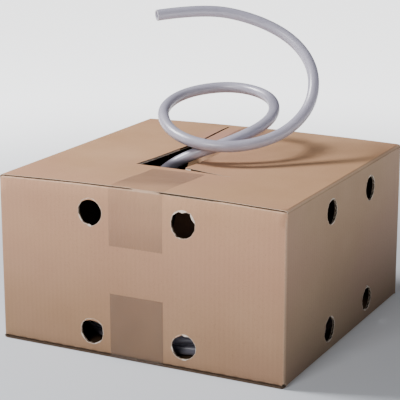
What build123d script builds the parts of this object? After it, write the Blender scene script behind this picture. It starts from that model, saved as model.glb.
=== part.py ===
from build123d import *
import math
import os

# Hose box: a square corrugated carton, taped shut, with a hatch cut in its top.
# A coil of smooth round hose lies inside, and its free end leaves by the hatch.
# Frame: origin at the centre of the underside, +Z up, front face towards -Y. Millimetres.

# ---- driving dimensions ----
W = 400.0            # carton width, X
D = 400.0            # carton depth, Y
H = 220.0            # carton height, Z
B = 3.0              # single-wall board
SEAM = 0.5           # half of the gap where two flaps meet
TAPE_W = 75.0        # carton sealing tape
TAPE_T = 0.15        # tape and its glue
TAPE_X = -0.5        # middle of the tape
TOP_TAPE_END = -86.0     # the top strip stops here, short of the hatch
TOP_TAPE_LEG = 148.0     # lowest point of the top strip on the front
BOTTOM_TAPE_LEG = 85.0   # highest point of the bottom strip on the front
CREASE_R = 2.6       # rounded standing corners

HOLE_R = 16.5        # punched round holes
HOLE_X = 65.0        # holes in front and back, from the middle
SIDE_HOLE_Y = (-58.0, 77.0)  # holes in the side walls
HOLE_Z = (31.0, 185.5)       # lower and upper row

HATCH_X0, HATCH_X1 = -62.0, 0.0   # hatch, from its cut side to the seam
HATCH_Y0, HATCH_Y1 = -72.0, 75.0  # hatch, from its cut front to its crease
HATCH_SPLAY = 9.0                 # the side cut runs out by this much towards the front
SLIT = 1.0                        # width of a knife cut

TONGUE_X0, TONGUE_X1 = -61.0, -1.5
TONGUE_L = 145.5
TONGUE_Y = 74.6      # crease of the tongue
TONGUE_DOWN = 60.0   # how far it is pushed in, degrees

HOSE_OD = 15.0
COIL_R1 = 191.0      # outside of the coil
COIL_R0 = 116.0      # inside of the coil
COIL_H = 30.0        # two layers

os.makedirs("parts", exist_ok=True)

WALL_Z0 = B          # walls stand between the outer flaps
WALL_Z1 = H - B


def save(builder, name):
    builder.part.label = name
    export_step(builder.part, "parts/" + name + ".step")


# ---- front and back walls: full width, two rows of two holes ----
def wall_y(outer_y, inward):
    with BuildPart() as wall:
        with BuildSketch(Plane(origin=(0, outer_y, 0), x_dir=(1, 0, 0), z_dir=(0, -1, 0))):
            with Locations((0, (WALL_Z0 + WALL_Z1) / 2)):
                Rectangle(W, WALL_Z1 - WALL_Z0)
        extrude(amount=-B * inward)
        # standing outside corners are folded, so they are round
        corners = (
            wall.edges().filter_by(Axis.Z).group_by(Axis.Y)[0 if inward > 0 else -1]
        )
        fillet(corners, CREASE_R)
        with BuildSketch(Plane(origin=(0, outer_y, 0), x_dir=(1, 0, 0), z_dir=(0, -1, 0))):
            with Locations(*[(sx * HOLE_X, z) for sx in (-1, 1) for z in HOLE_Z]):
                Circle(HOLE_R)
        extrude(amount=-B * inward, mode=Mode.SUBTRACT)
    return wall


front_wall = wall_y(-D / 2, 1)
save(front_wall, "front_wall")

back_wall = wall_y(D / 2, -1)
save(back_wall, "back_wall")


# ---- side walls: between the front and back walls ----
def wall_x(outer_x, inward):
    with BuildPart() as wall:
        with BuildSketch(Plane(origin=(outer_x, 0, 0), x_dir=(0, 1, 0), z_dir=(1, 0, 0))):
            with Locations((0, (WALL_Z0 + WALL_Z1) / 2)):
                Rectangle(D - 2 * B, WALL_Z1 - WALL_Z0)
            with Locations(*[(y, z) for y in SIDE_HOLE_Y for z in HOLE_Z]):
                Circle(HOLE_R, mode=Mode.SUBTRACT)
        extrude(amount=B * inward)
    return wall


right_wall = wall_x(W / 2, -1)
save(right_wall, "right_wall")

left_wall = wall_x(-W / 2, 1)
save(left_wall, "left_wall")

# ---- glue tab: inside the back left corner, with tapered ends ----
with BuildPart() as glue_tab:
    with BuildSketch(Plane(origin=(0, D / 2 - B, 0), x_dir=(1, 0, 0), z_dir=(0, -1, 0))):
        with BuildLine():
            Polyline(
                (-W / 2 + B, 14), (-W / 2 + B, H - 14),
                (-W / 2 + B + 32, H - 24), (-W / 2 + B + 32, 24), close=True,
            )
        make_face()
    extrude(amount=B)
save(glue_tab, "glue_tab")

# ---- outer top flaps: left and right, meeting at the middle seam ----
with BuildPart() as top_flap_left:
    with BuildSketch(Plane.XY.offset(H - B)):
        with Locations(((-W / 2 - SEAM) / 2, 0)):
            Rectangle(W / 2 - SEAM, D - 2.0)
        # hatch, open to the seam
        with BuildLine():
            Polyline(
                (-SEAM, HATCH_Y0), (-SEAM, HATCH_Y1), (HATCH_X0, HATCH_Y1),
                (HATCH_X0 - HATCH_SPLAY, HATCH_Y0), close=True,
            )
        make_face(mode=Mode.SUBTRACT)
        # the side cut runs on past the crease
        with Locations((HATCH_X0 + 1.5, (HATCH_Y1 + 182) / 2)):
            Rectangle(SLIT, 182 - HATCH_Y1, mode=Mode.SUBTRACT)
    extrude(amount=B)
    fillet(top_flap_left.edges().filter_by(Axis.Y).group_by(Axis.X)[0].sort_by(Axis.Z)[-1], CREASE_R)
save(top_flap_left, "top_flap_left")

with BuildPart() as top_flap_right:
    with BuildSketch(Plane.XY.offset(H - B)):
        with Locations(((W / 2 + SEAM) / 2, 0)):
            Rectangle(W / 2 - SEAM, D - 2.0)
        # the front cut of the hatch runs on into this flap, a little askew
        with BuildLine():
            Polyline(
                (0, -70.0), (0, -71.0 - SLIT), (61.0, -79.6), (61.3, -79.0), close=True,
            )
        make_face(mode=Mode.SUBTRACT)
    extrude(amount=B)
    fillet(top_flap_right.edges().filter_by(Axis.Y).group_by(Axis.X)[-1].sort_by(Axis.Z)[-1], CREASE_R)
save(top_flap_right, "top_flap_right")

# ---- inner top flaps: front and back, cut back a little further than the hatch ----
INNER_X0 = HATCH_X0 - HATCH_SPLAY - 3.0
with BuildPart() as top_flap_front:
    with BuildSketch(Plane.XY.offset(H - 2 * B)):
        with Locations((0, (-D / 2 + B - SEAM) / 2)):
            Rectangle(W - 2 * B, D / 2 - B - SEAM)
        with Locations(((INNER_X0 + HATCH_X1) / 2, (HATCH_Y0 - SEAM) / 2)):
            Rectangle(HATCH_X1 - INNER_X0, -SEAM - HATCH_Y0, mode=Mode.SUBTRACT)
    extrude(amount=B)
save(top_flap_front, "top_flap_front")

with BuildPart() as top_flap_back:
    with BuildSketch(Plane.XY.offset(H - 2 * B)):
        with Locations((0, (D / 2 - B + SEAM) / 2)):
            Rectangle(W - 2 * B, D / 2 - B - SEAM)
        with Locations(((INNER_X0 + HATCH_X1) / 2, (HATCH_Y1 + 2 + SEAM) / 2)):
            Rectangle(HATCH_X1 - INNER_X0, HATCH_Y1 + 2 - SEAM, mode=Mode.SUBTRACT)
    extrude(amount=B)
save(top_flap_back, "top_flap_back")

# ---- dispensing tongue: cut free on three sides and pushed down about its crease ----
a = math.radians(TONGUE_DOWN)
with BuildPart() as dispensing_tongue:
    with BuildSketch(
        Plane(
            origin=(0, TONGUE_Y, H - B),
            x_dir=(1, 0, 0),
            z_dir=(0, -math.sin(a), math.cos(a)),
        )
    ):
        # local +y points back up the slope, so the tongue runs along -y
        with Locations(((TONGUE_X0 + TONGUE_X1) / 2, -TONGUE_L / 2)):
            Rectangle(TONGUE_X1 - TONGUE_X0, TONGUE_L)
    extrude(amount=B)
    fillet(dispensing_tongue.edges().filter_by(Axis.X).sort_by(Axis.Z)[0], 0.6)
save(dispensing_tongue, "dispensing_tongue")


# ---- outer bottom flaps: the strip of tape beds into them, flush with the underside ----
def bottom_outer(side):
    with BuildPart() as flap:
        with BuildSketch(Plane.XY):
            with Locations((side * (W / 2 + SEAM) / 2, 0)):
                Rectangle(W / 2 - SEAM, D)
        extrude(amount=B)
        outer = flap.edges().filter_by(Axis.Y).group_by(Axis.X)[-1 if side > 0 else 0]
        fillet(outer.sort_by(Axis.Z)[0], CREASE_R)
        with BuildSketch(Plane.XY):
            with Locations((TAPE_X, 0)):
                Rectangle(TAPE_W, D)
        extrude(amount=TAPE_T, mode=Mode.SUBTRACT)
    return flap


bottom_flap_left = bottom_outer(-1)
save(bottom_flap_left, "bottom_flap_left")

bottom_flap_right = bottom_outer(1)
save(bottom_flap_right, "bottom_flap_right")


# ---- inner bottom flaps ----
def bottom_inner(side):
    with BuildPart() as flap:
        with BuildSketch(Plane.XY.offset(B)):
            with Locations((0, side * (D / 2 - B + SEAM) / 2)):
                Rectangle(W - 2 * B, D / 2 - B - SEAM)
        extrude(amount=B)
    return flap


bottom_flap_front = bottom_inner(-1)
save(bottom_flap_front, "bottom_flap_front")

bottom_flap_back = bottom_inner(1)
save(bottom_flap_back, "bottom_flap_back")


# ---- tape: strips over the seams, turned over the edges ----
def top_tape(side):
    # profile in the Y-Z plane, drawn for the front and mirrored for the back
    s = -side
    y0, y1 = s * D / 2, s * (D / 2 - 1.0)
    with BuildPart() as strip:
        with BuildSketch(Plane(origin=(TAPE_X - TAPE_W / 2, 0, 0), x_dir=(0, 1, 0), z_dir=(1, 0, 0))):
            with BuildLine():
                Polyline(
                    (s * -TOP_TAPE_END, H), (y1, H), (y1, H - B), (y0, H - B),
                    (y0, TOP_TAPE_LEG), (y0 + s * TAPE_T, TOP_TAPE_LEG),
                    (y0 + s * TAPE_T, H - 1.2), (y1, H + TAPE_T),
                    (s * -TOP_TAPE_END, H + TAPE_T), close=True,
                )
            make_face()
        extrude(amount=TAPE_W)
    return strip


top_tape_front = top_tape(1)
save(top_tape_front, "top_tape_front")

top_tape_back = top_tape(-1)
save(top_tape_back, "top_tape_back")

with BuildPart() as bottom_tape:
    with BuildSketch(Plane(origin=(TAPE_X - TAPE_W / 2, 0, 0), x_dir=(0, 1, 0), z_dir=(1, 0, 0))):
        with BuildLine():
            Polyline(
                (-D / 2, BOTTOM_TAPE_LEG), (-D / 2, TAPE_T), (D / 2, TAPE_T),
                (D / 2, BOTTOM_TAPE_LEG), (D / 2 + TAPE_T, BOTTOM_TAPE_LEG),
                (D / 2 + TAPE_T, 0), (-D / 2 - TAPE_T, 0),
                (-D / 2 - TAPE_T, BOTTOM_TAPE_LEG), close=True,
            )
        make_face()
    extrude(amount=TAPE_W)
save(bottom_tape, "bottom_tape")

# ---- coil: the outer shape of the wound stock, lying on the inner bottom flaps ----
with BuildPart() as hose_coil:
    with BuildSketch(Plane.XY.offset(2 * B)):
        Circle(COIL_R1)
        Circle(COIL_R0, mode=Mode.SUBTRACT)
    extrude(amount=COIL_H)
    fillet(hose_coil.edges().filter_by(GeomType.CIRCLE), HOSE_OD / 2 - 0.5)
save(hose_coil, "hose_coil")

# ---- hose lead: up from the coil, out of the hatch, round one loop to its cut end ----
COIL_TOP = 2 * B + COIL_H
ROUTE = [
    (-117.0, -93.0, COIL_TOP + 0.3), (-117.0, -93.0, 78.0), (-98.0, -77.0, 125.0),
    (-70.0, -58.0, 176.0), (-34.0, -41.5, 222.0),      # through the hatch
    (44.5, -14.0, 250.9), (73.0, 48.9, 271.2), (44.0, 111.7, 288.7),
    (-24.3, 128.9, 296.2), (-79.4, 85.0, 289.9), (-82.0, 15.5, 277.0),
    (-43.6, -30.5, 258.4), (9.8, -44.2, 247.5), (62.2, -23.6, 246.2),
    (100.7, 24.1, 259.0), (119.4, 67.0, 291.1), (108.6, 99.2, 333.8),
    (70.8, 113.7, 370.5), (15.5, 101.3, 397.0), (-41.9, 67.7, 409.9),
    (-87.6, 18.9, 403.6),
]
runs = [(Vector(*q) - Vector(*p)) for p, q in zip(ROUTE, ROUTE[1:])]
lengths = [v.length for v in runs]
turns = [u.get_angle(v) for u, v in zip(runs, runs[1:])]
radii = [
    0.45 * min(p, q) / math.tan(math.radians(t) / 2)
    for p, q, t in zip(lengths, lengths[1:], turns)
]
print("runs", [round(v, 1) for v in lengths])
print("turns", [round(v, 1) for v in turns])
print("radii", [round(v, 1) for v in radii])

with BuildPart() as hose_lead:
    with BuildLine() as path:
        FilletPolyline(*ROUTE, radius=radii)
    with BuildSketch(Plane(origin=path.line @ 0, z_dir=path.line % 0)):
        Circle(HOSE_OD / 2)
    sweep(transition=Transition.ROUND)
save(hose_lead, "hose_lead")
route_length = path.wires()[0].length
expected = math.pi * (HOSE_OD / 2) ** 2 * route_length
print("lead length", round(route_length, 1), "volume", round(hose_lead.part.volume), "expected", round(expected))
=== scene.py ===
import math
import random

import bmesh
import bpy
import numpy as np
from mathutils import Matrix, Vector
from mathutils.geometry import delaunay_2d_cdt


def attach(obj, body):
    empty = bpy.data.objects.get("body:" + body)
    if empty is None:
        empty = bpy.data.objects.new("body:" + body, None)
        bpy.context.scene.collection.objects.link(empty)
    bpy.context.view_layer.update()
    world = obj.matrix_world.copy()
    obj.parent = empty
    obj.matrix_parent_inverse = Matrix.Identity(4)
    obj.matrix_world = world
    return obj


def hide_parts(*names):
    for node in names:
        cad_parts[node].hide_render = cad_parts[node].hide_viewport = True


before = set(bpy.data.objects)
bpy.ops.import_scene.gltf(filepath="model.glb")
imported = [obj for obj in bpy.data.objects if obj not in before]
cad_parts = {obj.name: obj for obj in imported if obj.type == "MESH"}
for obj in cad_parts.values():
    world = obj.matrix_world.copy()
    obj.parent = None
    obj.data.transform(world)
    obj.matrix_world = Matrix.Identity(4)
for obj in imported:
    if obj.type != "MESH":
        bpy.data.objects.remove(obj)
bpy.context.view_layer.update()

random.seed(7)
rng = np.random.default_rng(7)
MM = 0.001

# sizes, in millimetres, as in the CAD
W, D, H, B = 400.0, 400.0, 220.0, 3.0
HOLE_R, HOLE_X, SIDE_HOLE_Y, HOLE_Z = 16.5, 65.0, (-58.0, 77.0), (31.0, 185.5)
HATCH_X0, HATCH_Y0, HATCH_Y1 = -62.0, -72.0, 75.0
HOSE_OD = 15.0
BORE = 11.0

# ------------------------------------------------------------------ camera
cam_data = bpy.data.cameras.new("camera")
cam = bpy.data.objects.new("camera", cam_data)
bpy.context.scene.collection.objects.link(cam)
bpy.context.scene.camera = cam
AZ, EL = math.radians(26.845), math.radians(14.885)
back = Vector((math.sin(AZ) * math.cos(EL), -math.cos(AZ) * math.cos(EL), math.sin(EL)))
cam.location = (0.82026, -1.64717, 0.65186)
cam.rotation_mode = "QUATERNION"
cam.rotation_quaternion = (-back).to_track_quat("-Z", "Y")
cam_data.sensor_width = 36.0
cam_data.lens = 1416.87 / 400.0 * 36.0
cam_data.clip_start, cam_data.clip_end = 0.05, 50.0


# ------------------------------------------------------------------ materials
def new_material(name):
    m = bpy.data.materials.new(name)
    m.use_nodes = True
    nt = m.node_tree
    bsdf = nt.nodes["Principled BSDF"]
    return m, nt, bsdf


def node(nt, kind, **values):
    n = nt.nodes.new(kind)
    for k, v in values.items():
        if hasattr(n, k):
            setattr(n, k, v)
        else:
            n.inputs[k].default_value = v
    return n


def ramp(nt, fac, stops):
    r = nt.nodes.new("ShaderNodeValToRGB")
    els = r.color_ramp.elements
    while len(els) > len(stops):
        els.remove(els[-1])
    while len(els) < len(stops):
        els.new(0.5)
    for e, (p, c) in zip(els, stops):
        e.position = p
        e.color = (*c, 1.0) if len(c) == 3 else c
    nt.links.new(fac, r.inputs["Fac"])
    return r


def mapped(nt, scale, rot=(0, 0, 0)):
    co = nt.nodes.new("ShaderNodeTexCoord")
    mp = nt.nodes.new("ShaderNodeMapping")
    mp.inputs["Scale"].default_value = scale
    mp.inputs["Rotation"].default_value = rot
    nt.links.new(co.outputs["Object"], mp.inputs["Vector"])
    return mp.outputs["Vector"]


def mix_rgb(nt, kind, fac, a, b):
    m = nt.nodes.new("ShaderNodeMix")
    m.data_type = "RGBA"
    m.blend_type = kind
    if isinstance(fac, float):
        m.inputs[0].default_value = fac
    else:
        nt.links.new(fac, m.inputs[0])
    for s, v in ((m.inputs[6], a), (m.inputs[7], b)):
        if isinstance(v, tuple):
            s.default_value = (*v, 1.0)
        else:
            nt.links.new(v, s)
    return m.outputs[2]


def smooth_range(nt, value, lo, hi, to_lo=0.0, to_hi=1.0):
    r = nt.nodes.new("ShaderNodeMapRange")
    r.interpolation_type = "SMOOTHSTEP"
    for k, v in (("From Min", lo), ("From Max", hi), ("To Min", to_lo), ("To Max", to_hi)):
        r.inputs[k].default_value = v
    nt.links.new(value, r.inputs["Value"])
    return r.outputs["Result"]


def maths(nt, op, a, b=None):
    m = nt.nodes.new("ShaderNodeMath")
    m.operation = op
    for s_, v in zip(m.inputs, (a, b)):
        if v is None:
            continue
        if isinstance(v, (int, float)):
            s_.default_value = v
        else:
            nt.links.new(v, s_)
    return m.outputs[0]


def kraft(name, flute_axis, shade=1.0, inner=False):
    """Kraft liner. flute_axis is the axis across the flutes: their faint ridges repeat along it."""
    m, nt, bsdf = new_material(name)
    tan = (0.500 * shade, 0.280 * shade, 0.148 * shade)
    pale = (0.585 * shade, 0.344 * shade, 0.196 * shade)
    rose = (0.515 * shade, 0.274 * shade, 0.173 * shade)
    plain = mapped(nt, (1, 1, 1))
    cloud = node(nt, "ShaderNodeTexNoise", Scale=7.0, Detail=4.0, Roughness=0.5)
    nt.links.new(plain, cloud.inputs["Vector"])
    blush = node(nt, "ShaderNodeTexNoise", Scale=4.3, Detail=2.0, Roughness=0.4)
    nt.links.new(mapped(nt, (1, 1, 1.3), (0.4, 0.2, 0.9)), blush.inputs["Vector"])
    fibre = node(nt, "ShaderNodeTexNoise", Scale=420.0, Detail=3.0, Roughness=0.6)
    stretch = [1.0, 1.0, 1.0]
    stretch["xyz".index(flute_axis)] = 2.6
    nt.links.new(mapped(nt, tuple(stretch)), fibre.inputs["Vector"])
    fleck = node(nt, "ShaderNodeTexNoise", Scale=900.0, Detail=1.0, Roughness=0.5)
    nt.links.new(plain, fleck.inputs["Vector"])
    c1 = ramp(nt, cloud.outputs["Fac"], [(0.32, tan), (0.68, pale)])
    f0 = ramp(nt, blush.outputs["Fac"], [(0.45, (0.0,) * 3), (0.65, (0.6,) * 3)])
    col = mix_rgb(nt, "MIX", f0.outputs["Color"], c1.outputs["Color"], rose)
    c2 = ramp(nt, fibre.outputs["Fac"], [(0.3, (0.87, 0.85, 0.82)), (0.7, (1.0, 1.0, 1.0))])
    col = mix_rgb(nt, "MULTIPLY", 0.7, col, c2.outputs["Color"])
    c3 = ramp(nt, fleck.outputs["Fac"], [(0.27, (0.50, 0.36, 0.25)), (0.36, (1.0, 1.0, 1.0))])
    col = mix_rgb(nt, "MULTIPLY", 0.4, col, c3.outputs["Color"])
    # flutes read faintly through the liner, one ridge every 6.4 mm
    wave = node(nt, "ShaderNodeTexWave", Scale=1.0, Distortion=0.5, Detail=1.0)
    wave.wave_type = "BANDS"
    wave.bands_direction = flute_axis.upper()
    wave.wave_profile = "SIN"
    nt.links.new(mapped(nt, (2 * math.pi / 20.0 / 0.0064,) * 3), wave.inputs["Vector"])
    c4 = ramp(nt, wave.outputs["Fac"], [(0.0, (0.955, 0.950, 0.945)), (1.0, (1.0, 1.0, 1.0))])
    col = mix_rgb(nt, "MULTIPLY", 0.6, col, c4.outputs["Color"])
    if not inner:
        # folds are rubbed pale, partly wear and partly a painted highlight along each fold
        sep = nt.nodes.new("ShaderNodeSeparateXYZ")
        nt.links.new(plain, sep.inputs[0])
        ax, ay = (maths(nt, "ABSOLUTE", sep.outputs[k]) for k in (0, 1))
        ex, ey = smooth_range(nt, ax, 0.1965, 0.1990), smooth_range(nt, ay, 0.1965, 0.1990)
        xx = maths(nt, "MULTIPLY", sep.outputs[0], sep.outputs[0])
        level = maths(nt, "ADD", sep.outputs[2], maths(nt, "MULTIPLY", maths(nt, "SUBTRACT", xx, 0.04), 0.09))
        ez = maths(nt, "MAXIMUM", smooth_range(nt, level, 0.2158, 0.2174), smooth_range(nt, sep.outputs[2], 0.0056, 0.0038))
        fold_wear_highlight = maths(nt, "MAXIMUM", maths(nt, "MULTIPLY", maths(nt, "MULTIPLY", ex, ey), 0.30), maths(nt, "MULTIPLY", ey, ez))
        # painted highlight: the fold along the top of each side wall is paler
        over = maths(nt, "MULTIPLY", smooth_range(nt, ax, 0.1958, 0.1980), smooth_range(nt, sep.outputs[2], 0.2166, 0.2178))
        fold_wear_highlight = maths(nt, "MAXIMUM", fold_wear_highlight, maths(nt, "MULTIPLY", over, 0.50))
        fold_wear_highlight = maths(nt, "MULTIPLY", fold_wear_highlight, smooth_range(nt, fibre.outputs["Fac"], 0.25, 0.6, 0.35, 0.85))
        col = mix_rgb(nt, "MIX", fold_wear_highlight, col, (0.80, 0.60, 0.44))
        spot = nt.nodes.new("ShaderNodeVectorMath")
        spot.operation = "DISTANCE"
        nt.links.new(plain, spot.inputs[0])
        spot.inputs[1].default_value = (-0.025, 0.128, 0.222)
        flush = smooth_range(nt, spot.outputs["Value"], 0.075, 0.018, 0.0, 0.75)
        col = mix_rgb(nt, "MIX", flush, col, (0.470, 0.245, 0.190))
        # painted shade: the side walls are painted greyer and cooler
        col = mix_rgb(nt, "MULTIPLY", smooth_range(nt, ax, 0.1982, 0.1994), col, (0.84, 0.93, 1.0))
        # painted shade: the walls are painted darker towards the bottom
        bottom_shade = smooth_range(nt, sep.outputs[2], 0.0, 0.19, 0.58, 0.0)
        col = mix_rgb(nt, "MULTIPLY", bottom_shade, col, (0.62, 0.66, 0.68))
    nt.links.new(col, bsdf.inputs["Base Color"])
    rr = ramp(nt, fibre.outputs["Fac"], [(0.2, (0.60,) * 3), (0.8, (0.76,) * 3)])
    nt.links.new(rr.outputs["Color"], bsdf.inputs["Roughness"])
    bsdf.inputs["Specular IOR Level"].default_value = 0.35 if not inner else 0.15
    b1 = node(nt, "ShaderNodeBump", Strength=0.16, Distance=0.0004)
    nt.links.new(wave.outputs["Fac"], b1.inputs["Height"])
    b2 = node(nt, "ShaderNodeBump", Strength=0.22, Distance=0.00018)
    nt.links.new(fibre.outputs["Fac"], b2.inputs["Height"])
    nt.links.new(b1.outputs["Normal"], b2.inputs["Normal"])
    nt.links.new(b2.outputs["Normal"], bsdf.inputs["Normal"])
    return m


def paper_edge(name, light, dark, scale=700.0):
    """Raw, torn or cut paper."""
    m, nt, bsdf = new_material(name)
    n = node(nt, "ShaderNodeTexNoise", Scale=scale, Detail=4.0, Roughness=0.7)
    nt.links.new(mapped(nt, (1, 1, 1)), n.inputs["Vector"])
    c = ramp(nt, n.outputs["Fac"], [(0.3, dark), (0.65, light)])
    nt.links.new(c.outputs["Color"], bsdf.inputs["Base Color"])
    bsdf.inputs["Roughness"].default_value = 0.9
    bsdf.inputs["Specular IOR Level"].default_value = 0.15
    b = node(nt, "ShaderNodeBump", Strength=0.6, Distance=0.0003)
    nt.links.new(n.outputs["Fac"], b.inputs["Height"])
    nt.links.new(b.outputs["Normal"], bsdf.inputs["Normal"])
    return m


def tape_material(name, alpha, fades):
    """Clear brown tape. Where it lies over the fold and down the wall it is pressed clear."""
    m, nt, bsdf = new_material(name)
    n = node(nt, "ShaderNodeTexNoise", Scale=16.0, Detail=3.0, Roughness=0.5)
    nt.links.new(mapped(nt, (1, 2.2, 1)), n.inputs["Vector"])
    c = ramp(nt, n.outputs["Fac"], [(0.3, (0.185, 0.130, 0.100)), (0.7, (0.235, 0.165, 0.125))])
    nt.links.new(c.outputs["Color"], bsdf.inputs["Base Color"])
    a = smooth_range(nt, n.outputs["Fac"], 0.3, 0.72, alpha * 0.86, alpha * 1.1)
    if fades:
        sep = nt.nodes.new("ShaderNodeSeparateXYZ")
        nt.links.new(mapped(nt, (1, 1, 1)), sep.inputs[0])
        ay = maths(nt, "ABSOLUTE", sep.outputs[1])
        skew = maths(nt, "ADD", ay, maths(nt, "MULTIPLY", sep.outputs[0], 0.28))
        near = smooth_range(nt, skew, 0.150, 0.188, 0.56, 0.24)
        leg = smooth_range(nt, sep.outputs[2], 0.150, 0.192, 0.22, 0.0)
        a = maths(nt, "MULTIPLY", a, maths(nt, "ADD", near, leg))
    nt.links.new(a, bsdf.inputs["Alpha"])
    bsdf.inputs["Roughness"].default_value = 0.34
    bsdf.inputs["Specular IOR Level"].default_value = 0.4
    w = node(nt, "ShaderNodeTexNoise", Scale=45.0, Detail=3.0, Roughness=0.55)
    nt.links.new(mapped(nt, (1, 0.35, 0.35)), w.inputs["Vector"])
    b = node(nt, "ShaderNodeBump", Strength=0.10, Distance=0.0006)
    nt.links.new(w.outputs["Fac"], b.inputs["Height"])
    nt.links.new(b.outputs["Normal"], bsdf.inputs["Normal"])
    return m


def hose_material(name):
    m, nt, bsdf = new_material(name)
    cloud = node(nt, "ShaderNodeTexNoise", Scale=26.0, Detail=4.0, Roughness=0.6)
    nt.links.new(mapped(nt, (1, 1, 1)), cloud.inputs["Vector"])
    c1 = ramp(nt, cloud.outputs["Fac"], [(0.3, (0.370, 0.352, 0.432)), (0.7, (0.430, 0.410, 0.488))])
    spot = node(nt, "ShaderNodeTexNoise", Scale=190.0, Detail=5.0, Roughness=0.75)
    nt.links.new(mapped(nt, (1, 1, 1)), spot.inputs["Vector"])
    c2 = ramp(nt, spot.outputs["Fac"], [(0.30, (0.72, 0.71, 0.72)), (0.42, (1, 1, 1)), (0.68, (1, 1, 1)), (0.78, (1.12, 1.12, 1.12))])
    col = mix_rgb(nt, "MULTIPLY", 0.55, c1.outputs["Color"], c2.outputs["Color"])
    # painted shade: the run just inside the hatch is painted dark, and made duller
    sep = nt.nodes.new("ShaderNodeSeparateXYZ")
    nt.links.new(mapped(nt, (1, 1, 1)), sep.inputs[0])
    hatch_shade = maths(nt, "MULTIPLY", smooth_range(nt, sep.outputs[2], 0.231, 0.219), smooth_range(nt, sep.outputs[2], 0.085, 0.115))
    col = mix_rgb(nt, "MULTIPLY", hatch_shade, col, (0.26, 0.25, 0.25))
    nt.links.new(col, bsdf.inputs["Base Color"])
    rr = ramp(nt, cloud.outputs["Fac"], [(0.3, (0.28,) * 3), (0.7, (0.38,) * 3)])
    nt.links.new(maths(nt, "MAXIMUM", rr.outputs["Color"], hatch_shade), bsdf.inputs["Roughness"])
    nt.links.new(smooth_range(nt, hatch_shade, 0.0, 1.0, 0.85, 0.08), bsdf.inputs["Specular IOR Level"])
    b = node(nt, "ShaderNodeBump", Strength=0.12, Distance=0.0004)
    nt.links.new(spot.outputs["Fac"], b.inputs["Height"])
    nt.links.new(b.outputs["Normal"], bsdf.inputs["Normal"])
    return m


KRAFT_X = kraft("kraft_flutes_across_x", "x")   # flutes stand up or run along Y
KRAFT_Y = kraft("kraft_flutes_across_y", "y")
# the inside liner is painted very dark, as painted shade inside the closed carton
SHADED_INSIDE_X = kraft("kraft_inside_painted_shade_x", "x", 0.15, inner=True)
SHADED_INSIDE_Y = kraft("kraft_inside_painted_shade_y", "y", 0.15, inner=True)
EDGE = paper_edge("board_cut_edge", (0.76, 0.62, 0.48), (0.52, 0.38, 0.26))
# the fluting inside a cut edge is coloured near black, as painted shade of the recess between the liners
RECESS_SHADE_FLUTE = paper_edge("board_flute_painted_shade", (0.16, 0.105, 0.07), (0.06, 0.038, 0.024), 500.0)
# the crushed foot edges are coloured dark, as painted shade along the bottom where the box meets the floor
CRUSHED_FLUTE_SHADE = paper_edge("board_flute_crushed_painted_shade", (0.15, 0.100, 0.068), (0.085, 0.056, 0.038), 500.0)
TORN = paper_edge("torn_paper", (0.90, 0.80, 0.69), (0.60, 0.46, 0.34), 900.0)
TAPE = tape_material("clear_brown_tape", 0.27, True)
TAPE_LOW = tape_material("clear_brown_tape_low", 0.20, False)
HOSE = hose_material("grey_hose")
HOSE_CUT = paper_edge("hose_cut_face", (0.50, 0.49, 0.51), (0.38, 0.37, 0.39), 400.0)


# ------------------------------------------------------------------ mesh helpers
def mesh_object(name, verts, faces, mats, mat_ids=None, smooth=True, sharp=None):
    me = bpy.data.meshes.new(name)
    me.from_pydata([tuple(v * MM for v in p) for p in verts], [], faces)
    for m in mats:
        me.materials.append(m)
    if mat_ids is not None:
        me.polygons.foreach_set("material_index", mat_ids)
    me.polygons.foreach_set("use_smooth", [smooth] * len(faces))
    me.validate()
    me.update()
    o = bpy.data.objects.new(name, me)
    bpy.context.scene.collection.objects.link(o)
    if sharp is not None:
        bm = bmesh.new()
        bm.from_mesh(me)
        for e in bm.edges:
            if len(e.link_faces) == 2 and e.calc_face_angle(0) > sharp:
                e.smooth = False
        bm.to_mesh(me)
        bm.free()
    return o


def resample(loop, step):
    out = []
    n = len(loop)
    for i in range(n):
        a, b = np.array(loop[i], float), np.array(loop[(i + 1) % n], float)
        k = max(1, int(round(np.linalg.norm(b - a) / step)))
        out += [tuple(a + (b - a) * j / k) for j in range(k)]
    return out


def inside(pts, loop):
    """Which of many points lie inside a loop."""
    pts = np.atleast_2d(np.asarray(pts, float))
    lp = np.asarray(loop, float)
    x, y = pts[:, :1], pts[:, 1:2]
    xi, yi = lp[:, 0], lp[:, 1]
    xj, yj = np.roll(xi, 1), np.roll(yi, 1)
    with np.errstate(divide="ignore", invalid="ignore"):
        hit = ((yi > y) != (yj > y)) & (x < (xj - xi) * (y - yi) / (yj - yi) + xi)
    return hit.sum(1) % 2 == 1


def torn_hole(cx, cy, r, seed, tear=1.0, n=72):
    """A punched hole with a slightly ragged rim."""
    g = np.random.default_rng(seed)
    a = np.arange(n) / n * 2 * math.pi
    rad = np.full(n, r)
    for k in range(2, 7):
        rad += g.normal(0, 0.32 * tear / k ** 0.6) * np.cos(k * a + g.uniform(0, 6.28))
    rough = g.normal(0, 0.22 * tear, n)
    rough = (rough + np.roll(rough, 1) * 0.6) / 1.3
    rad += rough
    for _ in range(int(2 + g.integers(0, 3))):
        c, wd, dp = g.uniform(0, 6.28), g.uniform(0.07, 0.22), g.uniform(-1.0, 1.5) * tear
        d = np.angle(np.exp(1j * (a - c)))
        rad += dp * np.clip(1 - np.abs(d) / wd, 0, 1)
    return [(cx + rad[i] * math.cos(a[i]), cy + rad[i] * math.sin(a[i])) for i in range(n)]


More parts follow.
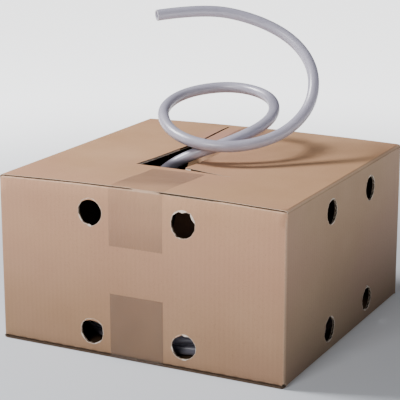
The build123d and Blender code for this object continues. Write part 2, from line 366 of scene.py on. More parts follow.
def triangulate(outline, holes, step, edge_step=3.0):
    """Points and triangles of a flat panel: its outline, its holes, and an even grid inside."""
    loops = [resample(outline, edge_step)] + [list(h) for h in holes]
    pts, edges = [], []
    for lp in loops:
        s = len(pts)
        pts += lp
        edges += [(s + i, s + (i + 1) % len(lp)) for i in range(len(lp))]
    rim = np.array(pts)
    lo, hi = rim.min(0), rim.max(0)
    grid = np.array([
        (x, y + (step / 2 if i % 2 else 0))
        for i, x in enumerate(np.arange(lo[0] + step / 2, hi[0], step))
        for y in np.arange(lo[1] + step / 2, hi[1], step)
    ])
    ok = inside(grid, loops[0])
    for h in loops[1:]:
        ok &= ~inside(grid, h)
    grid = grid[ok]
    near = np.array([np.abs(rim - q).sum(1).min() for q in grid]) if len(grid) else np.zeros(0)
    pts += [tuple(q) for q in grid[near > step * 0.45]]
    out = delaunay_2d_cdt([Vector(p) for p in pts], edges, [], 1, 1e-5)
    v2, tris = [tuple(v) for v in out[0]], [tuple(f) for f in out[2]]
    arr = np.array(v2)
    mid = arr[np.array(tris)].mean(1)
    ok = inside(mid, loops[0])
    for h in loops[1:]:
        ok &= ~inside(mid, h)
    keep = []
    for t, k in zip(tris, ok):
        if not k:
            continue
        (ax, ay), (bx, by), (cx, cy) = (v2[i] for i in t)
        if (bx - ax) * (cy - ay) - (by - ay) * (cx - ax) < 0:
            t = t[::-1]
        keep.append(t)
    return v2, keep


def board(name, body, nodes, outline, holes, place, mats, step=9.0, thick=B, edge_step=3.0,
          skin=0.42, wave_edges=True, recess=1.5, extra=None, shut=None, pale=None):
    """A panel of single-wall board. place(u, v, w) gives the 3-D point, w from 0 outside to -thick inside.
    Each cut edge shows both liners with the fluting between them, but where shut(u, v) holds the rim
    is a fold that runs on into the next panel, so it stays flush."""
    v2, tris = triangulate(outline, holes, step, edge_step)
    n = len(v2)
    levels = [0.0, -skin, -skin - 0.05, -(thick - skin) + 0.05, -(thick - skin), -thick]
    # boundary loops
    count = {}
    for t in tris:
        for i in range(3):
            e = (t[i], t[(i + 1) % 3])
            count[e] = count.get(e, 0) + 1
    rim = [e for e in count if (e[1], e[0]) not in count]
    nxt = {a: b for a, b in rim}
    prv = {b: a for a, b in rim}
    inward = {}
    for a in nxt:
        p, q, r = np.array(v2[prv[a]]), np.array(v2[a]), np.array(v2[nxt[a]])
        t = (r - p) / (np.linalg.norm(r - p) + 1e-9)
        inward[a] = np.array([-t[1], t[0]])     # the material lies to the left of the rim
    verts, faces, ids = [], [], []

    def put(u, v, w):
        verts.append(place(u, v, w))
        return len(verts) - 1

    top = [put(u, v, 0.0) for u, v in v2]
    bot = [put(u, v, -thick) for u, v in v2]
    for a, b, c in tris:
        faces.append((top[a], top[b], top[c])); ids.append(0)
        faces.append((bot[c], bot[b], bot[a])); ids.append(1)
    ring = {}
    for a in nxt:
        q = np.array(v2[a])
        r = q + inward[a] * (0.02 if shut and shut(*q) else 0.35 if pale and pale(*q) else recess)
        ring[a] = [
            top[a], put(*q, levels[1]), put(*r, levels[2]), put(*r, levels[3]), put(*q, levels[4]), bot[a],
        ]
    # index 3 is the dark fluting colour, painted shade of the recess; on pale rims it also marks the outer liner's edge
    for a, b in rim:
        flush = shut and shut(*v2[a]) and shut(*v2[b])
        torn = pale and pale(*v2[a]) and pale(*v2[b])
        for k in range(5):
            ids.append(0 if flush else (3 if k == 0 else 4) if torn else 2 if k in (0, 4) else 3)
            faces.append((ring[a][k + 1], ring[b][k + 1], ring[b][k], ring[a][k]))
    # the fluting: a thin waved ribbon just inside the cut
    if wave_edges:
        seen = set()
        for start in nxt:
            if start in seen:
                continue
            loop, a = [], start
            while a not in seen:
                seen.add(a)
                loop.append(a)
                a = nxt[a]
            pts = np.array([v2[i] for i in loop] + [v2[loop[0]]])
            if wave_edges == "holes" and np.ptp(pts[:, 0]) > 60:
                continue
            inw = np.array([inward[i] for i in loop] + [inward[loop[0]]])
            s = np.concatenate([[0], np.cumsum(np.linalg.norm(np.diff(pts, axis=0), axis=1))])
            m = max(8, int(s[-1] / 0.8))
            prev = None
            first = None
            for j in range(m):
                d = s[-1] * j / m
                u, v = np.interp(d, s, pts[:, 0]), np.interp(d, s, pts[:, 1])
                iu, iv = np.interp(d, s, inw[:, 0]), np.interp(d, s, inw[:, 1])
                mid = -thick / 2 + (thick / 2 - skin - 0.16) * math.sin(2 * math.pi * d / 6.4)
                quad = [
                    put(u + iu * 0.12, v + iv * 0.12, mid + 0.13), put(u + iu * 0.12, v + iv * 0.12, mid - 0.13),
                    put(u + iu * (recess + 0.02), v + iv * (recess + 0.02), mid - 0.13),
                    put(u + iu * (recess + 0.02), v + iv * (recess + 0.02), mid + 0.13),
                ]
                if prev is not None:
                    for k in range(4):
                        faces.append((prev[k], quad[k], quad[(k + 1) % 4], prev[(k + 1) % 4])); ids.append(2)
                else:
                    first = quad
                prev = quad
            faces.append(tuple(first[::-1])); ids.append(2)
            faces.append(tuple(prev)); ids.append(2)
    if extra:
        extra(put, faces, ids)
    o = mesh_object(name, verts, faces, mats, ids, True, math.radians(38))
    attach(o, body)
    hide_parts(*nodes)
    return o


def flakes(place, cx, cy, r, seed, spans, loop):
    """The torn rim of a punched hole: a ragged pale lip all round it, and bits of liner that reach in.
    spans: (from, to, how far in, how far out of the wall, keeps its kraft face) in degrees and mm."""
    g = np.random.default_rng(seed)

    def ribbon(put, faces, ids, rows, closed, mat):
        quads = [[put(*p) for p in row] for row in rows]
        pairs = list(zip(quads, quads[1:])) + ([(quads[-1], quads[0])] if closed else [])
        for p, q in pairs:
            for m in range(4):
                faces.append((p[m], p[(m + 1) % 4], q[(m + 1) % 4], q[m])); ids.append(mat)
        if not closed:
            faces.append(tuple(quads[0])); ids.append(mat)
            faces.append(tuple(quads[-1][::-1])); ids.append(mat)

    def add(put, faces, ids):
        rows = []
        wide = np.abs(g.normal(0.04, 0.26, len(loop))) + 0.04
        wide = (wide + np.roll(wide, 1) * 0.7) / 1.7
        for (x, y), wd in zip(loop, wide):
            nx, ny = (x - cx), (y - cy)
            L = math.hypot(nx, ny)
            nx, ny = nx / L, ny / L
            rows.append([
                (x + nx * wd, y + ny * wd, 0.07), (x - nx * 0.12, y - ny * 0.12, 0.10),
                (x - nx * 0.12, y - ny * 0.12, -0.36), (x + nx * wd, y + ny * wd, -0.36),
            ])
        ribbon(put, faces, ids, rows, True, 4)
        for a0, a1, reach, lift, plain in spans:
            k = max(5, int((a1 - a0) / 5))
            rows = []
            jag = 1.0
            for j in range(k + 1):
                t = j / k
                a = math.radians(a0 + (a1 - a0) * t)
                fade = math.sin(math.pi * min(max(t, 0.03), 0.97)) ** 0.6
                jag = 0.5 * jag + 0.5 * g.uniform(0.35, 1.35)
                ro = r + (0.5 if not plain else -0.30 * fade)
                ri = r - 0.2 - reach * fade * (jag if not plain else 1.0)
                if ro - ri < 0.25:
                    ri = ro - 0.25
                c, s_ = math.cos(a), math.sin(a)
                h = lift * fade
                rows.append([
                    (cx + ro * c, cy + ro * s_, 0.12 + (0.0 if not plain else -0.3)),
                    (cx + ri * c, cy + ri * s_, 0.12 + h), (cx + ri * c, cy + ri * s_, -0.12 + h),
                    (cx + ro * c, cy + ro * s_, -0.14 + (0.0 if not plain else -0.3)),
                ])
            ribbon(put, faces, ids, rows, False, 0 if plain else 4)

    return add


def many(*adders):
    def add(put, faces, ids):
        for f in adders:
            f(put, faces, ids)
    return add


WAVES = {}


def undulate(u, v, amp, seed):
    """Slow unevenness of a board panel, in mm."""
    if seed not in WAVES:
        g = np.random.default_rng(seed)
        WAVES[seed] = [(g.uniform(0.4, 1.9), g.uniform(0.4, 1.9), g.uniform(0, 6.28)) for _ in range(5)]
    z = 0.0
    for k, (fx, fy, ph) in enumerate(WAVES[seed]):
        z += math.sin(u / 200 * fx * math.pi + v / 200 * fy * math.pi + ph) / (k + 1.5)
    return amp * z


# ------------------------------------------------------------------ hose
# the free end: the same points as in the CAD route
ROUTE = [
    (-117.0, -93.0, 36.3), (-117.0, -93.0, 78.0), (-98.0, -77.0, 125.0),
    (-70.0, -58.0, 176.0), (-34.0, -41.5, 222.0),
    (44.5, -14.0, 250.9), (73.0, 48.9, 271.2), (44.0, 111.7, 288.7),
    (-24.3, 128.9, 296.2), (-79.4, 85.0, 289.9), (-82.0, 15.5, 277.0),
    (-43.6, -30.5, 258.4), (9.8, -44.2, 247.5), (62.2, -23.6, 246.2),
    (100.7, 24.1, 259.0), (119.4, 67.0, 291.1), (108.6, 99.2, 333.8),
    (70.8, 113.7, 370.5), (15.5, 101.3, 397.0), (-41.9, 67.7, 409.9),
    (-87.6, 18.9, 403.6),
]


def spline_line(name, points, resolution):
    """Points of the smooth NURBS line that a route's points control, in millimetres."""
    cu = bpy.data.curves.new(name, "CURVE")
    cu.dimensions = "3D"
    sp = cu.splines.new("NURBS")
    sp.points.add(len(points) - 1)
    for p, q in zip(sp.points, points):
        p.co = (q[0] * MM, q[1] * MM, q[2] * MM, 1.0)
    sp.order_u = 3
    sp.use_endpoint_u = True
    sp.resolution_u = resolution
    cu.resolution_u = resolution
    o = bpy.data.objects.new(name, cu)
    bpy.context.scene.collection.objects.link(o)
    bpy.context.view_layer.update()
    me = bpy.data.meshes.new_from_object(o.evaluated_get(bpy.context.evaluated_depsgraph_get()))
    pts = [Vector(v.co) / MM for v in me.vertices]
    bpy.data.meshes.remove(me)
    bpy.data.objects.remove(o)
    bpy.data.curves.remove(cu)
    return pts


def tube_along(name, pts, r_out, r_in, mats, bore_start, bore_end, seg=32):
    """A hose along a line: outer skin, square-cut ends, and an open bore a little way in at the cut ends."""
    n = len(pts)
    tans = [(pts[min(i + 1, n - 1)] - pts[max(i - 1, 0)]).normalized() for i in range(n)]
    x = tans[0].orthogonal().normalized()
    frames = []
    for i, t in enumerate(tans):
        x = (x - t * x.dot(t)).normalized()
        frames.append((pts[i], x.copy(), t.cross(x)))
    verts, faces, ids = [], [], []

    def circle(k, r, push=0.0):
        p, fx, fy = frames[k]
        s_ = len(verts)
        for j in range(seg):
            a = 2 * math.pi * j / seg
            verts.append(tuple(p + tans[k] * push + fx * (r * math.cos(a)) + fy * (r * math.sin(a))))
        return s_

    def skin(a, b, mid):
        for j in range(seg):
            j2 = (j + 1) % seg
            faces.append((a + j, a + j2, b + j2, b + j)); ids.append(mid)

    def cap(a, k, r, flip_, mid):
        verts.append(tuple(frames[k][0]))
        c = len(verts) - 1
        for j in range(seg):
            f = (a + j, a + (j + 1) % seg, c)
            faces.append(f[::-1] if flip_ else f); ids.append(mid)

    outer = [circle(k, r_out) for k in range(n)]
    for a, b in zip(outer, outer[1:]):
        skin(a, b, 0)

    def end(k, step, bore):
        first = outer[k]
        sg = 1 if step < 0 else -1
        if not bore:
            cap(first, k, r_out, step > 0, 1)
            return
        lip1 = circle(k, r_out - 0.3, 0.25 * sg)
        lip2 = circle(k, r_in + 0.2, 0.25 * sg)
        rings = [first, lip1, lip2] + [circle(k + step * m, r_in) for m in range(bore)]
        for q, (a, b) in enumerate(zip(rings, rings[1:])):
            mid = 1 if q < 3 else 2
            if step < 0:
                skin(a, b, mid)
            else:
                skin(b, a, mid)
        cap(rings[-1], k + step * (bore - 1), r_in, step > 0, 2)

    end(n - 1, -1, bore_end)
    end(0, 1, bore_start)
    return mesh_object(name, verts, faces, mats, ids, True, math.radians(40))


HOSE_BORE = hose_material("hose_bore")
HOSE_MATS = [HOSE, HOSE_CUT, HOSE_BORE]
line = spline_line("hose_route", ROUTE, 14)
hose = tube_along("hose_free_end", line, HOSE_OD / 2, BORE / 2, HOSE_MATS, 0, 16, 36)
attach(hose, "lead")
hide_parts("hose_lead")

# the stock: two layers of turns lying in the carton, the upper ones in the grooves of the lower
PER = 16
pitch = HOSE_OD + 0.3
low_in, low_out = 124.2, 183.0
top_in, top_out = 131.9, 175.4
z_low, z_top = 6.0 + HOSE_OD / 2 + 0.1, 6.0 + HOSE_OD / 2 + 0.1 + 13.4
coil_rng = np.random.default_rng(21)


def spiral(r0, r1, z, a0, skip=0):
    k = int(round(PER * abs(r1 - r0) / pitch))
    pts = []
    for j in range(skip, k + 1):
        t = j / k
        a = a0 + 2 * math.pi * j / PER
        pts.append(((r0 + (r1 - r0) * t) * math.cos(a), (r0 + (r1 - r0) * t) * math.sin(a), z))
    return pts, a0 + 2 * math.pi * k / PER


coil_pts, ang = spiral(low_in, low_out, z_low, math.radians(205))
for j in range(1, 6):   # up on to the second layer
    t = j / 5
    a = ang + 2 * math.pi * j / PER
    e = 3 * t * t - 2 * t ** 3
    coil_pts.append(((low_out + (top_out - low_out) * e) * math.cos(a), (low_out + (top_out - low_out) * e) * math.sin(a), z_low + (z_top - z_low) * e))
second, ang = spiral(top_out, top_in, z_top, ang + 2 * math.pi * 5 / PER, 1)
coil_pts += second
cline = spline_line("coil_route", coil_pts, 6)
coil = tube_along("hose_stock_coil", cline, HOSE_OD / 2, BORE / 2, HOSE_MATS, 3, 3, 24)
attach(coil, "carton")
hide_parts("hose_coil")
tuple(c * MM for c in coil_pts[0])

# ------------------------------------------------------------------ walls
R = 3.4            # outside radius of a folded crease
ARC = R * math.pi / 2


def fold(s, half):
    """Flat coordinate s across a panel with a rounded fold at each end: (along, inward drop)."""
    flat = half - R
    if abs(s) <= flat:
        return s, 0.0, 0.0
    a = min((abs(s) - flat) / R, math.pi / 2)
    sg = 1 if s > 0 else -1
    return sg * (flat + R * math.sin(a)), R - R * math.cos(a), a * sg


def lip(z, lo, hi, r=2.4):
    """Inward drop of a wall's outside face near its folded top and bottom."""
    if z > hi - r:
        t = min((z - (hi - r)) / r, 1.0)
        return r - r * math.sqrt(max(0.0, 1 - t * t))
    if z < lo + r:
        t = min(((lo + r) - z) / r, 1.0)
        return r - r * math.sqrt(max(0.0, 1 - t * t))
    return 0.0


WZ0, WZ1 = 2.9, 216.6
HALF_FLAT = W / 2 - R + ARC


def bump01(x, a, b, soft):
    """1 between a and b, 0 outside, with soft shoulders."""
    t = min(max((x - (a - soft)) / soft, 0.0), 1.0) * min(max(((b + soft) - x) / soft, 0.0), 1.0)
    return t * t * (3 - 2 * t)


def fold_rise(x):
    """How far the fold along the top of a wall stands above its nominal height. It is pressed
    shut where the tape is tight over it, and gapes beside that."""
    return 1.30 + 1.25 * bump01(x, -4.0, 30.0, 3.0) - 0.95 * bump01(x, 36.0, 92.0, 26.0) + 0.18 * math.sin(x * 0.061 + 0.7)


def crown(x, y=200.0):
    """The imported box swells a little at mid-width, most at its front and back edges."""
    t = min(max((abs(y) - 95.0) / 85.0, 0.0), 1.0)
    t = t * t * (3 - 2 * t)
    return (0.7 + (2.9 if y < 0 else 2.1) * t) * max(0.0, 1 - (x / 200.0) ** 2)


def place_front(side, seed, amp):
    def f(u, v, w):
        x, drop, a = fold(u, W / 2)
        fade = max(0.0, 1 - (abs(x) / 197.0) ** 4) * max(0.0, 1 - (abs(v - 110) / 108.0) ** 4)
        bulge = (undulate(u, v, amp, seed) + 0.6) * fade
        dz = lip(v, WZ0, WZ1)
        sg = 1 if a >= 0 else -1
        nx, ny = math.sin(abs(a)) * sg, math.cos(a)
        y = D / 2 - drop - dz + bulge * ny + w * ny
        t = min(max((v - 204.0) / 12.6, 0.0), 1.0)
        up = min(max((v - 150.0) / 66.6, 0.0), 1.0)
        z = v + fold_rise(x) * t * t * (3 - 2 * t) * math.cos(a) + crown(x, side * 200.0) * up * up * (3 - 2 * up)
        return ((x + w * nx) * (-side if side > 0 else 1), side * y, z)
    return f


def wall(name, body, nodes, centres, half, place, mats, seed, spans, outline):
    loops = [torn_hole(cx, cz, HOLE_R, seed + i * 17, 1.0) for i, (cx, cz) in enumerate(centres)]
    adders = [flakes(place, cx, cz, HOLE_R, seed + i, spans[i % len(spans)], lp) for i, ((cx, cz), lp) in enumerate(zip(centres, loops))]
    return board(name, body, nodes, outline, loops, place, mats, step=9.0, extra=many(*adders), wave_edges="holes", shut=lambda u, v: abs(u) > HALF_FLAT - 0.01 or v > WZ1 - 0.01)


front_centres = [(-HOLE_X, HOLE_Z[1]), (HOLE_X, HOLE_Z[1]), (-HOLE_X, HOLE_Z[0]), (HOLE_X, HOLE_Z[0])]
FRONT_SPANS = [
    [(48, 138, 1.5, 0.25, True), (198, 228, 0.9, 0.1, False), (258, 278, 2.2, 0.2, False)],
    [(72, 112, 2.4, 0.3, False), (14, 52, 2.2, 0.4, False), (112, 140, 1.0, 0.1, False)],
    [(50, 132, 1.9, 0.25, True), (196, 226, 1.3, 0.1, False), (282, 318, 0.7, 0.1, False)],
    [(96, 140, 1.7, 0.25, True), (66, 96, 1.6, 0.3, False), (184, 210, 1.0, 0.1, False), (262, 284, 1.2, 0.1, False)],
]
FRONT_MATS = [KRAFT_X, SHADED_INSIDE_X, EDGE, RECESS_SHADE_FLUTE, TORN]
SIDE_MATS = [KRAFT_Y, SHADED_INSIDE_Y, EDGE, RECESS_SHADE_FLUTE, TORN]
plain_outline = [(-HALF_FLAT, WZ0), (HALF_FLAT, WZ0), (HALF_FLAT, WZ1), (-HALF_FLAT, WZ1)]
# the near right foot is nicked
nicked_outline = [
    (-HALF_FLAT, WZ0), (HALF_FLAT - 6.4, WZ0), (HALF_FLAT - 5.6, 5.4), (HALF_FLAT - 3.0, 7.2), (HALF_FLAT, 6.6),
    (HALF_FLAT, WZ1), (-HALF_FLAT, WZ1),
]
wall("front_panel", "carton", ["front_wall"], front_centres, HALF_FLAT, place_front(-1, 11, 0.42), FRONT_MATS, 100, FRONT_SPANS, nicked_outline)
wall("back_panel", "carton", ["back_wall"], front_centres, HALF_FLAT, place_front(1, 12, 0.42), FRONT_MATS, 200, FRONT_SPANS[::-1], plain_outline)


def place_side(side, seed, amp):
    half = D / 2 - R

    def f(u, v, w):
        fade = max(0.0, 1 - (abs(u) / half) ** 4) * max(0.0, 1 - (abs(v - 110) / 107.0) ** 4)
        bulge = (undulate(u, v, amp, seed) + 0.5) * fade
        x = W / 2 + bulge + w
        return (side * x, u if side > 0 else -u, v)
    return f


SIDE_SPANS = [
    [(60, 120, 0.9, 0.3, False), (268, 305, 1.6, 0.2, False)],
    [(20, 62, 2.4, 0.5, False), (80, 115, 0.8, 0.1, False), (282, 312, 1.4, 0.2, False)],
    [(40, 78, 1.8, 0.4, False), (255, 300, 1.6, 0.1, False)],
    [(75, 110, 1.2, 0.3, False), (240, 262, 1.9, 0.1, False), (300, 320, 1.2, 0.2, False)],
]
WZ_SIDE = (R + 0.02, H - R)


def side_wall(name, nodes, side, seed, spans):
    half = D / 2 - R
    centres = [(y if side > 0 else -y, z) for z in HOLE_Z[::-1] for y in SIDE_HOLE_Y]
    place = place_side(side, seed, 0.4)
    outline = [(-half, WZ_SIDE[0]), (half, WZ_SIDE[0]), (half, WZ_SIDE[1]), (-half, WZ_SIDE[1])]
    if side > 0:
        outline = [(-half, 6.4), (-half + 2.0, 5.2), (-half + 2.6, WZ_SIDE[0])] + outline[1:]
    loops = [torn_hole(cx, cz, HOLE_R, seed + 31 * i, 1.5) for i, (cx, cz) in enumerate(centres)]
    adders = [flakes(place, cx, cz, HOLE_R, seed + i, spans[i % 4], loops[i]) for i, (cx, cz) in enumerate(centres)]
    return board(name, "carton", nodes, outline, loops, place, SIDE_MATS, step=9.0, extra=many(*adders), wave_edges="holes", shut=lambda u, v: abs(u) > half - 0.01 or v > WZ_SIDE[1] - 0.01 or v < WZ_SIDE[0] + 0.01)


side_wall("right_panel", ["right_wall"], 1, 300, SIDE_SPANS)
side_wall("left_panel", ["left_wall"], -1, 400, SIDE_SPANS[::-1])


# glue tab, inside the back left corner
def place_tab(u, v, w):
    return (-u, D / 2 - B - 0.35 + w * 0.85, v)


board(
    "glue_flap", "carton", ["glue_tab"],
    [(W / 2 - B - 32, 24), (W / 2 - B - 0.4, 14), (W / 2 - B - 0.4, H - 14), (W / 2 - B - 32, H - 24)],
    [], place_tab, [SHADED_INSIDE_X, SHADED_INSIDE_X, EDGE, RECESS_SHADE_FLUTE, TORN], step=9.0,
)

# ------------------------------------------------------------------ top flaps
TOP_Z = H


FLAP_END = 197.3


def crush(x, y):
    """The flap's end is pinched down where the tape is tight over the edge."""
    b = max(0.0, min(1.0, (-184.0 - y) / 12.0))
    return 0.45 * bump01(x, -4.0, 30.0, 4.0) * b


def place_outer(side, seed):
    half = W / 2

    def f(u, v, w):
        # u runs from the fold (large) to the seam (0)
        x, drop, a = fold(u, half)
        sg = 1.0
        nx, nz = math.sin(abs(a)), math.cos(a)
        rel = 1 - min(1.0, abs(x) / 196.0)
        sag = 0.0
        fade = max(0.0, 1 - (abs(x) / 197.0) ** 4) * max(0.0, 1 - (abs(v) / 199.0) ** 6)
        sag = undulate(u * side, v, 0.30, seed) * fade
        # the board is soft round the hatch, so the seam side dips a little
        near = math.exp(-((abs(x) - 0) / 60.0) ** 2) * math.exp(-((v + 20) / 90.0) ** 2)
        sag -= (0.9 if side < 0 else 0.35) * near
        z = TOP_Z - drop + sag * nz + w * nz + crown(x, v) * nz
        X = side * (x + w * nx)
        z -= crush(X, v)
        return (X, v if side > 0 else v, z)
    return f


def flip(loop):
    return loop[::-1]


U_MAX = W / 2 - R + ARC
# right flap: drawn in (u, v) = (x, y), with the hatch's front cut running into it
slit_r = [(0.3, -69.2), (20, -71.6), (40, -74.8), (70.0, -80.6), (71.0, -81.6), (40, -77.5), (20, -74.5), (0.3, -72.3)]
outline_r = [(0.04, -FLAP_END), (U_MAX, -FLAP_END), (U_MAX, FLAP_END), (0.04, FLAP_END), (0.04, 92.0), (0.3, 80.0)] + slit_r + [(0.3, -76.0), (0.04, -84.0)]
TOP_MATS = [KRAFT_Y, SHADED_INSIDE_Y, EDGE, RECESS_SHADE_FLUTE, TORN]


def place_right(u, v, w):
    x, y, z = place_outer(1, 501)(u, v, w)
    # behind the cut, the flap's corner has sprung up a little under the hose
    if v > -80 and v > (-71.0 - 0.132 * x):
        k = math.exp(-((x - 0) / 27.0) ** 2) * math.exp(-((v + 71) / 24.0) ** 2)
        z += 2.0 * k * min(1.0, max(0.0, (60 - x) / 20.0))
    return (x, y, z)


board("top_outer_right", "carton", ["top_flap_right"], outline_r, [], place_right, TOP_MATS, step=8.0, wave_edges=False,
      shut=lambda u, v: u > U_MAX - 0.01 or (u < 0.31 and (v > -62.0 or v < -74.0)), pale=lambda u, v: u < 9.0 and -71.0 < v < -64.0)


def place_left(u, v, w):
    x, y, z = place_outer(-1, 502)(-u, v, w)
    return (x, y, z)


# left flap: u = x, negative; the hatch is open to the seam, its side cut runs on to the back
def hatch_side(y):
    """The hatch's side cut, a little askew."""
    return -72.0 + (y + 69.7) * 0.0875


outline_l = [
    (-U_MAX, -FLAP_END), (-0.04, -FLAP_END), (-0.04, -84.0), (-0.3, -76.0), (-0.3, HATCH_Y0 + 0.6), (-30.0, HATCH_Y0 + 1.2), (hatch_side(-69.7), -69.7),
    (hatch_side(-45.0) + 0.5, -45.0), (hatch_side(0.0), 0.0), (hatch_side(40.0) - 0.4, 40.0), (hatch_side(HATCH_Y1), HATCH_Y1),
    (-60.6, 130.0), (-60.2, 183.0), (-57.0, 184.0), (-57.0, 130.0),
    (-58.0, HATCH_Y1 + 1.0), (-0.3, HATCH_Y1 + 1.0), (-0.04, 92.0), (-0.04, FLAP_END), (-U_MAX, FLAP_END),
]


def place_left_dip(u, v, w):
    x, y, z = place_left(u, v, w)
    # beyond the crease the strip between the side cut and the seam follows the tongue down
    if v > HATCH_Y1 and x > -58.7:
        z -= 2.0 * math.exp(-((v - HATCH_Y1) / 40.0)) * bump01(x, -52.0, -12.0, 10.0)
    # in front, the flap's edge along the side cut is pressed in a little by the hose
    k = math.exp(-((x - HATCH_X0) / 16.0) ** 2) * math.exp(-((v + 25) / 60.0) ** 2)
    z -= 0.6 * k
    return (x, y, z)


board("top_outer_left", "carton", ["top_flap_left"], outline_l, [], place_left_dip, TOP_MATS, step=8.0, edge_step=2.5, wave_edges=False,
      shut=lambda u, v: u < -U_MAX + 0.01 or (u > -0.31 and abs(v) > 73.0), pale=lambda u, v: -73.0 < u < -58.5 and -71.0 < v < 38.0)


# inner flaps
def place_inner(u, v, w):
    z = H - B - 0.95 + 0.12 * undulate(u, v, 1.0, 77) + crown(u, v)
    if v > HATCH_Y1 and u > -58.7:
        z -= 2.0 * math.exp(-((v - HATCH_Y1) / 40.0)) * bump01(u, -52.0, -12.0, 10.0)
    return (u, v, z + w * 0.82)


INNER_MATS = [KRAFT_X, SHADED_INSIDE_X, EDGE, RECESS_SHADE_FLUTE, TORN]
inner_front = [
    (-196.5, -197.2), (196.5, -197.2), (196.5, -0.6), (-0.2, -0.6), (-0.3, -67.8), (20, -70.4), (40, -73.8), (68.0, -79.4), (68.4, -81.0), (40, -77.6), (20, -73.6), (-0.4, HATCH_Y0 - 1.4),
    (-77.5, HATCH_Y0 - 1.2), (-76.0, -0.6), (-196.5, -0.6),
]
board("top_inner_front", "carton", ["top_flap_front"], inner_front, [], place_inner, INNER_MATS, step=12.0)
inner_back = [
    (-196.5, 0.6), (-74.0, 0.6), (-72.6, HATCH_Y1 + 2.0), (-63.0, HATCH_Y1 + 2.4), (-63.4, 186.0), (-54.6, 186.0), (-54.6, HATCH_Y1 + 2.4),
    (-0.2, HATCH_Y1 + 2.0), (0.0, 0.6), (196.5, 0.6), (196.5, 197.2), (-196.5, 197.2),
]
board("top_inner_back", "carton", ["top_flap_back"], inner_back, [], place_inner, INNER_MATS, step=12.0)

# ------------------------------------------------------------------ tongue
TY, TZ, DOWN = 74.6, 217.0, math.radians(60.0)


def place_tongue(u, v, w):
    """v is 0 at the crease and negative along the tongue; it bows a little and is bruised at the crease."""
    s = -v
    soft = min(1.0, s / 14.0)
    ang = DOWN * (0.90 + 0.10 * soft)
    cy, cz = -math.cos(ang) * s, -math.sin(ang) * s
    t = B + w
    bowing = 1.2 * math.sin(math.pi * min(1.0, s / 145.0))
    ny, nz = -math.sin(ang), math.cos(ang)
    y = TY + cy + ny * (t + bowing)
    z = TZ + cz + nz * (t + bowing)
    return (u, y, z)


tongue_outline = [(-60.8, -145.0), (-1.8, -145.0), (-1.6, -0.2), (-60.6, -0.2)]
tongue = board("hatch_tongue", "tongue", ["dispensing_tongue"], tongue_outline, [], place_tongue, TOP_MATS, step=7.0)

# ------------------------------------------------------------------ bottom flaps
def place_bottom(side, seed):
    def f(u, v, w):
        x, drop, a = fold(u, W / 2)
        nx, nz = math.sin(abs(a)), math.cos(a)
        z = drop - w * nz
        return (side * (x + w * nx), v if side < 0 else -v, z)
    return f


# the cut edges along the foot take the dark crushed-fluting colour, painted shade
BOTTOM_MATS = [KRAFT_Y, SHADED_INSIDE_Y, CRUSHED_FLUTE_SHADE, CRUSHED_FLUTE_SHADE, TORN]
for side, nm in ((-1, "left"), (1, "right")):
    corner = [(U_MAX, 199.0)] if side < 0 else [(U_MAX, 193.5), (U_MAX - 3.4, 195.4), (U_MAX - 6.2, 199.0)]
    board(
        f"bottom_outer_{nm}", "carton", [f"bottom_flap_{nm}"],
        [(0.4, -199.0), (U_MAX, -199.0)] + corner + [(0.4, 199.0)], [], place_bottom(side, 601), BOTTOM_MATS,
        step=12.0, recess=0.25, wave_edges=False,
    )


for side, nm in ((-1, "front"), (1, "back")):
    y0, y1 = (-197.0, -0.5) if side < 0 else (0.5, 197.0)
    # drawn from inside the carton, so its lit face is the inner liner, which is painted dark as painted shade
    board(
        f"bottom_inner_{nm}", "carton", [f"bottom_flap_{nm}"],
        [(-196.5, y0), (196.5, y0), (196.5, y1), (-196.5, y1)], [],
        lambda u, v, w: (u, v, B + 0.1 + B * 0.86 + w * 0.86), [SHADED_INSIDE_X, KRAFT_X, EDGE, RECESS_SHADE_FLUTE, TORN], step=14.0,
    )


# ------------------------------------------------------------------ tape
def strip(name, node_name, path, x0, x1, mat, thick=0.12, cut_seed=1, n=34):
    """A strip of tape along a path of (y, z, outward y, outward z), with a serrated cut at each free end."""
    g = np.random.default_rng(cut_seed)
    verts, faces = [], []
    rows = len(path)
    for k, (y, z, oy, oz) in enumerate(path):
        for j in range(n + 1):
            x = x0 + (x1 - x0) * j / n
            saw = 0.0
            if k == 0 or k == rows - 1:
                saw = 0.55 * (1 if j % 2 else -1)
            ty, tz = (path[min(k + 1, rows - 1)][0] - path[max(k - 1, 0)][0], path[min(k + 1, rows - 1)][1] - path[max(k - 1, 0)][1])
            L = math.hypot(ty, tz) or 1.0
            wr = 0.05 * math.sin(x * 0.21 + k * 0.9) * math.sin(k * 0.37 + 1.0)
            off = 0.10 + max(0.0, wr)
            yy = y + oy * off + ty / L * saw
            zz = z + oz * off + tz / L * saw
            verts.append((x, yy, zz))
            verts.append((x, yy + oy * thick, zz + oz * thick))
    st = 2 * (n + 1)
    for k in range(rows - 1):
        for j in range(n):
            a = k * st + 2 * j
            faces.append((a + 1, a + 3, a + st + 3, a + st + 1))
            faces.append((a, a + st, a + st + 2, a + 2))
        a = k * st
        faces.append((a, a + 1, a + st + 1, a + st))
        a = k * st + 2 * n
        faces.append((a + 1, a, a + st, a + st + 1))
    for j in range(n):
        a = 2 * j
        faces.append((a, a + 2, a + 3, a + 1))
        a = (rows - 1) * st + 2 * j
        faces.append((a + 2, a, a + 1, a + 3))
    o = mesh_object(name, verts, faces, [mat], None, True, math.radians(40))
    bm = bmesh.new()
    bm.from_mesh(o.data)
    bmesh.ops.recalc_face_normals(bm, faces=bm.faces)
    bm.to_mesh(o.data)
    bm.free()
    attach(o, "carton")
    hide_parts(node_name)
    return o


def front_y(x, z):
    """Outside face of the front panel on the tape's line."""
    return place_front(-1, 11, 0.42)(x, z, 0.0)


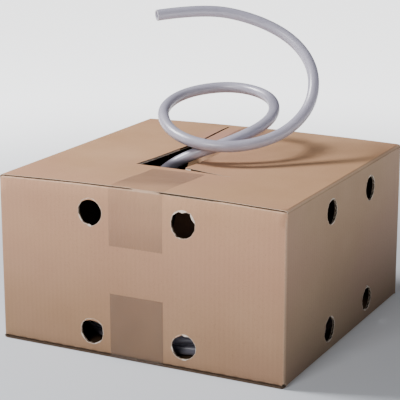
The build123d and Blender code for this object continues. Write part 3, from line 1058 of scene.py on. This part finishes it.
def top_path(side, end, leg, x=0.0):
    out = []
    pf = place_front(side, 11 if side < 0 else 12, 0.42)
    po = place_outer(1, 501)
    y = end
    k = 12
    for j in range(k + 1):
        yy = end + (196.5 - end) * j / k
        z = po(3.0, side * yy, 0.0)[2]
        out.append((side * yy, z + 0.12, 0.0, 1.0))
    z_edge = po(3.0, side * 198.9, 0.0)[2]
    out.append((side * 198.9, z_edge + 0.06, side * 0.3, 0.95))
    out.append((side * 199.7, z_edge - 0.5, side * 0.8, 0.6))
    out.append((side * 200.05, z_edge - 1.6, side * 1.0, 0.1))
    for j in range(13):
        z = 214.6 - (214.6 - leg) * j / 12
        yy = pf(0.0, z, 0.0)[1]
        out.append((side * max(abs(yy), 199.9) + side * 0.15, z, side * 1.0, 0.0))
    return out


strip("tape_top_front", "top_tape_front", top_path(-1, 86.0, 147.5), -38.0, 37.0, TAPE, cut_seed=3)
strip("tape_top_back", "top_tape_back", top_path(1, 87.0, 149.0), -38.0, 37.0, TAPE, cut_seed=4)


def bottom_path():
    out = []
    for side, order in ((-1, 1), (1, -1)):
        pf = place_front(side, 11 if side < 0 else 12, 0.42)
        leg = []
        for j in range(10):
            z = 85.0 - (85.0 - 5.0) * j / 9
            yy = pf(0.0, z, 0.0)[1]
            leg.append((side * max(abs(yy), 199.9) + side * 0.12, z, side * 1.0, 0.0))
        leg.append((side * 200.1, 2.2, side * 1.0, 0.0))
        leg.append((side * 199.9, 0.55, side * 0.6, 0.0))
        if order < 0:
            leg = leg[::-1]
            for j in range(9):
                out.append((-196 + 392 * j / 8, 0.33, 0.0, -1.0))
        out += leg
    return out


strip("tape_bottom", "bottom_tape", bottom_path(), -38.0, 37.0, TAPE_LOW, cut_seed=5)

# ------------------------------------------------------------------ stage and light
bpy.ops.mesh.primitive_plane_add(size=24.0, location=(0, 0, 0))
floor = bpy.context.object
floor.name = "floor"
fm, fnt, fb = new_material("floor_pale")
fb.inputs["Base Color"].default_value = (0.535, 0.56, 0.60, 1)
fb.inputs["Roughness"].default_value = 0.9
fb.inputs["Specular IOR Level"].default_value = 0.1
# the floor is lit up from below further out, as a studio sweep is
far = fnt.nodes.new("ShaderNodeVectorMath")
far.operation = "LENGTH"
fnt.links.new(mapped(fnt, (1, 1, 1)), far.inputs[0])
glow = smooth_range(fnt, far.outputs["Value"], 0.32, 1.7, 0.10, 2.5)
fb.inputs["Emission Color"].default_value = (1.0, 1.0, 1.0, 1)
fnt.links.new(glow, fb.inputs["Emission Strength"])
floor.data.materials.append(fm)

world = bpy.data.worlds.new("studio")
bpy.context.scene.world = world
world.use_nodes = True
world.node_tree.nodes["Background"].inputs["Color"].default_value = (0.82, 0.93, 1.12, 1)
world.node_tree.nodes["Background"].inputs["Strength"].default_value = 0.11


def area(name, loc, target, size, power, color=(1, 1, 1)):
    l = bpy.data.lights.new(name, "AREA")
    l.shape = "RECTANGLE"
    l.size, l.size_y = size
    l.energy = power
    l.color = color
    o = bpy.data.objects.new(name, l)
    bpy.context.scene.collection.objects.link(o)
    o.location = loc
    o.rotation_mode = "QUATERNION"
    o.rotation_quaternion = (Vector(target) - Vector(loc)).to_track_quat("-Z", "Y")
    return o


area("key_left", (-1.56, -0.46, 2.0), (0.0, 0.0, 0.2), (0.66, 0.66), 98.0)
area("fill_front", (0.06, -1.40, 1.05), (0.0, -0.2, 0.16), (0.42, 0.38), 11.5)
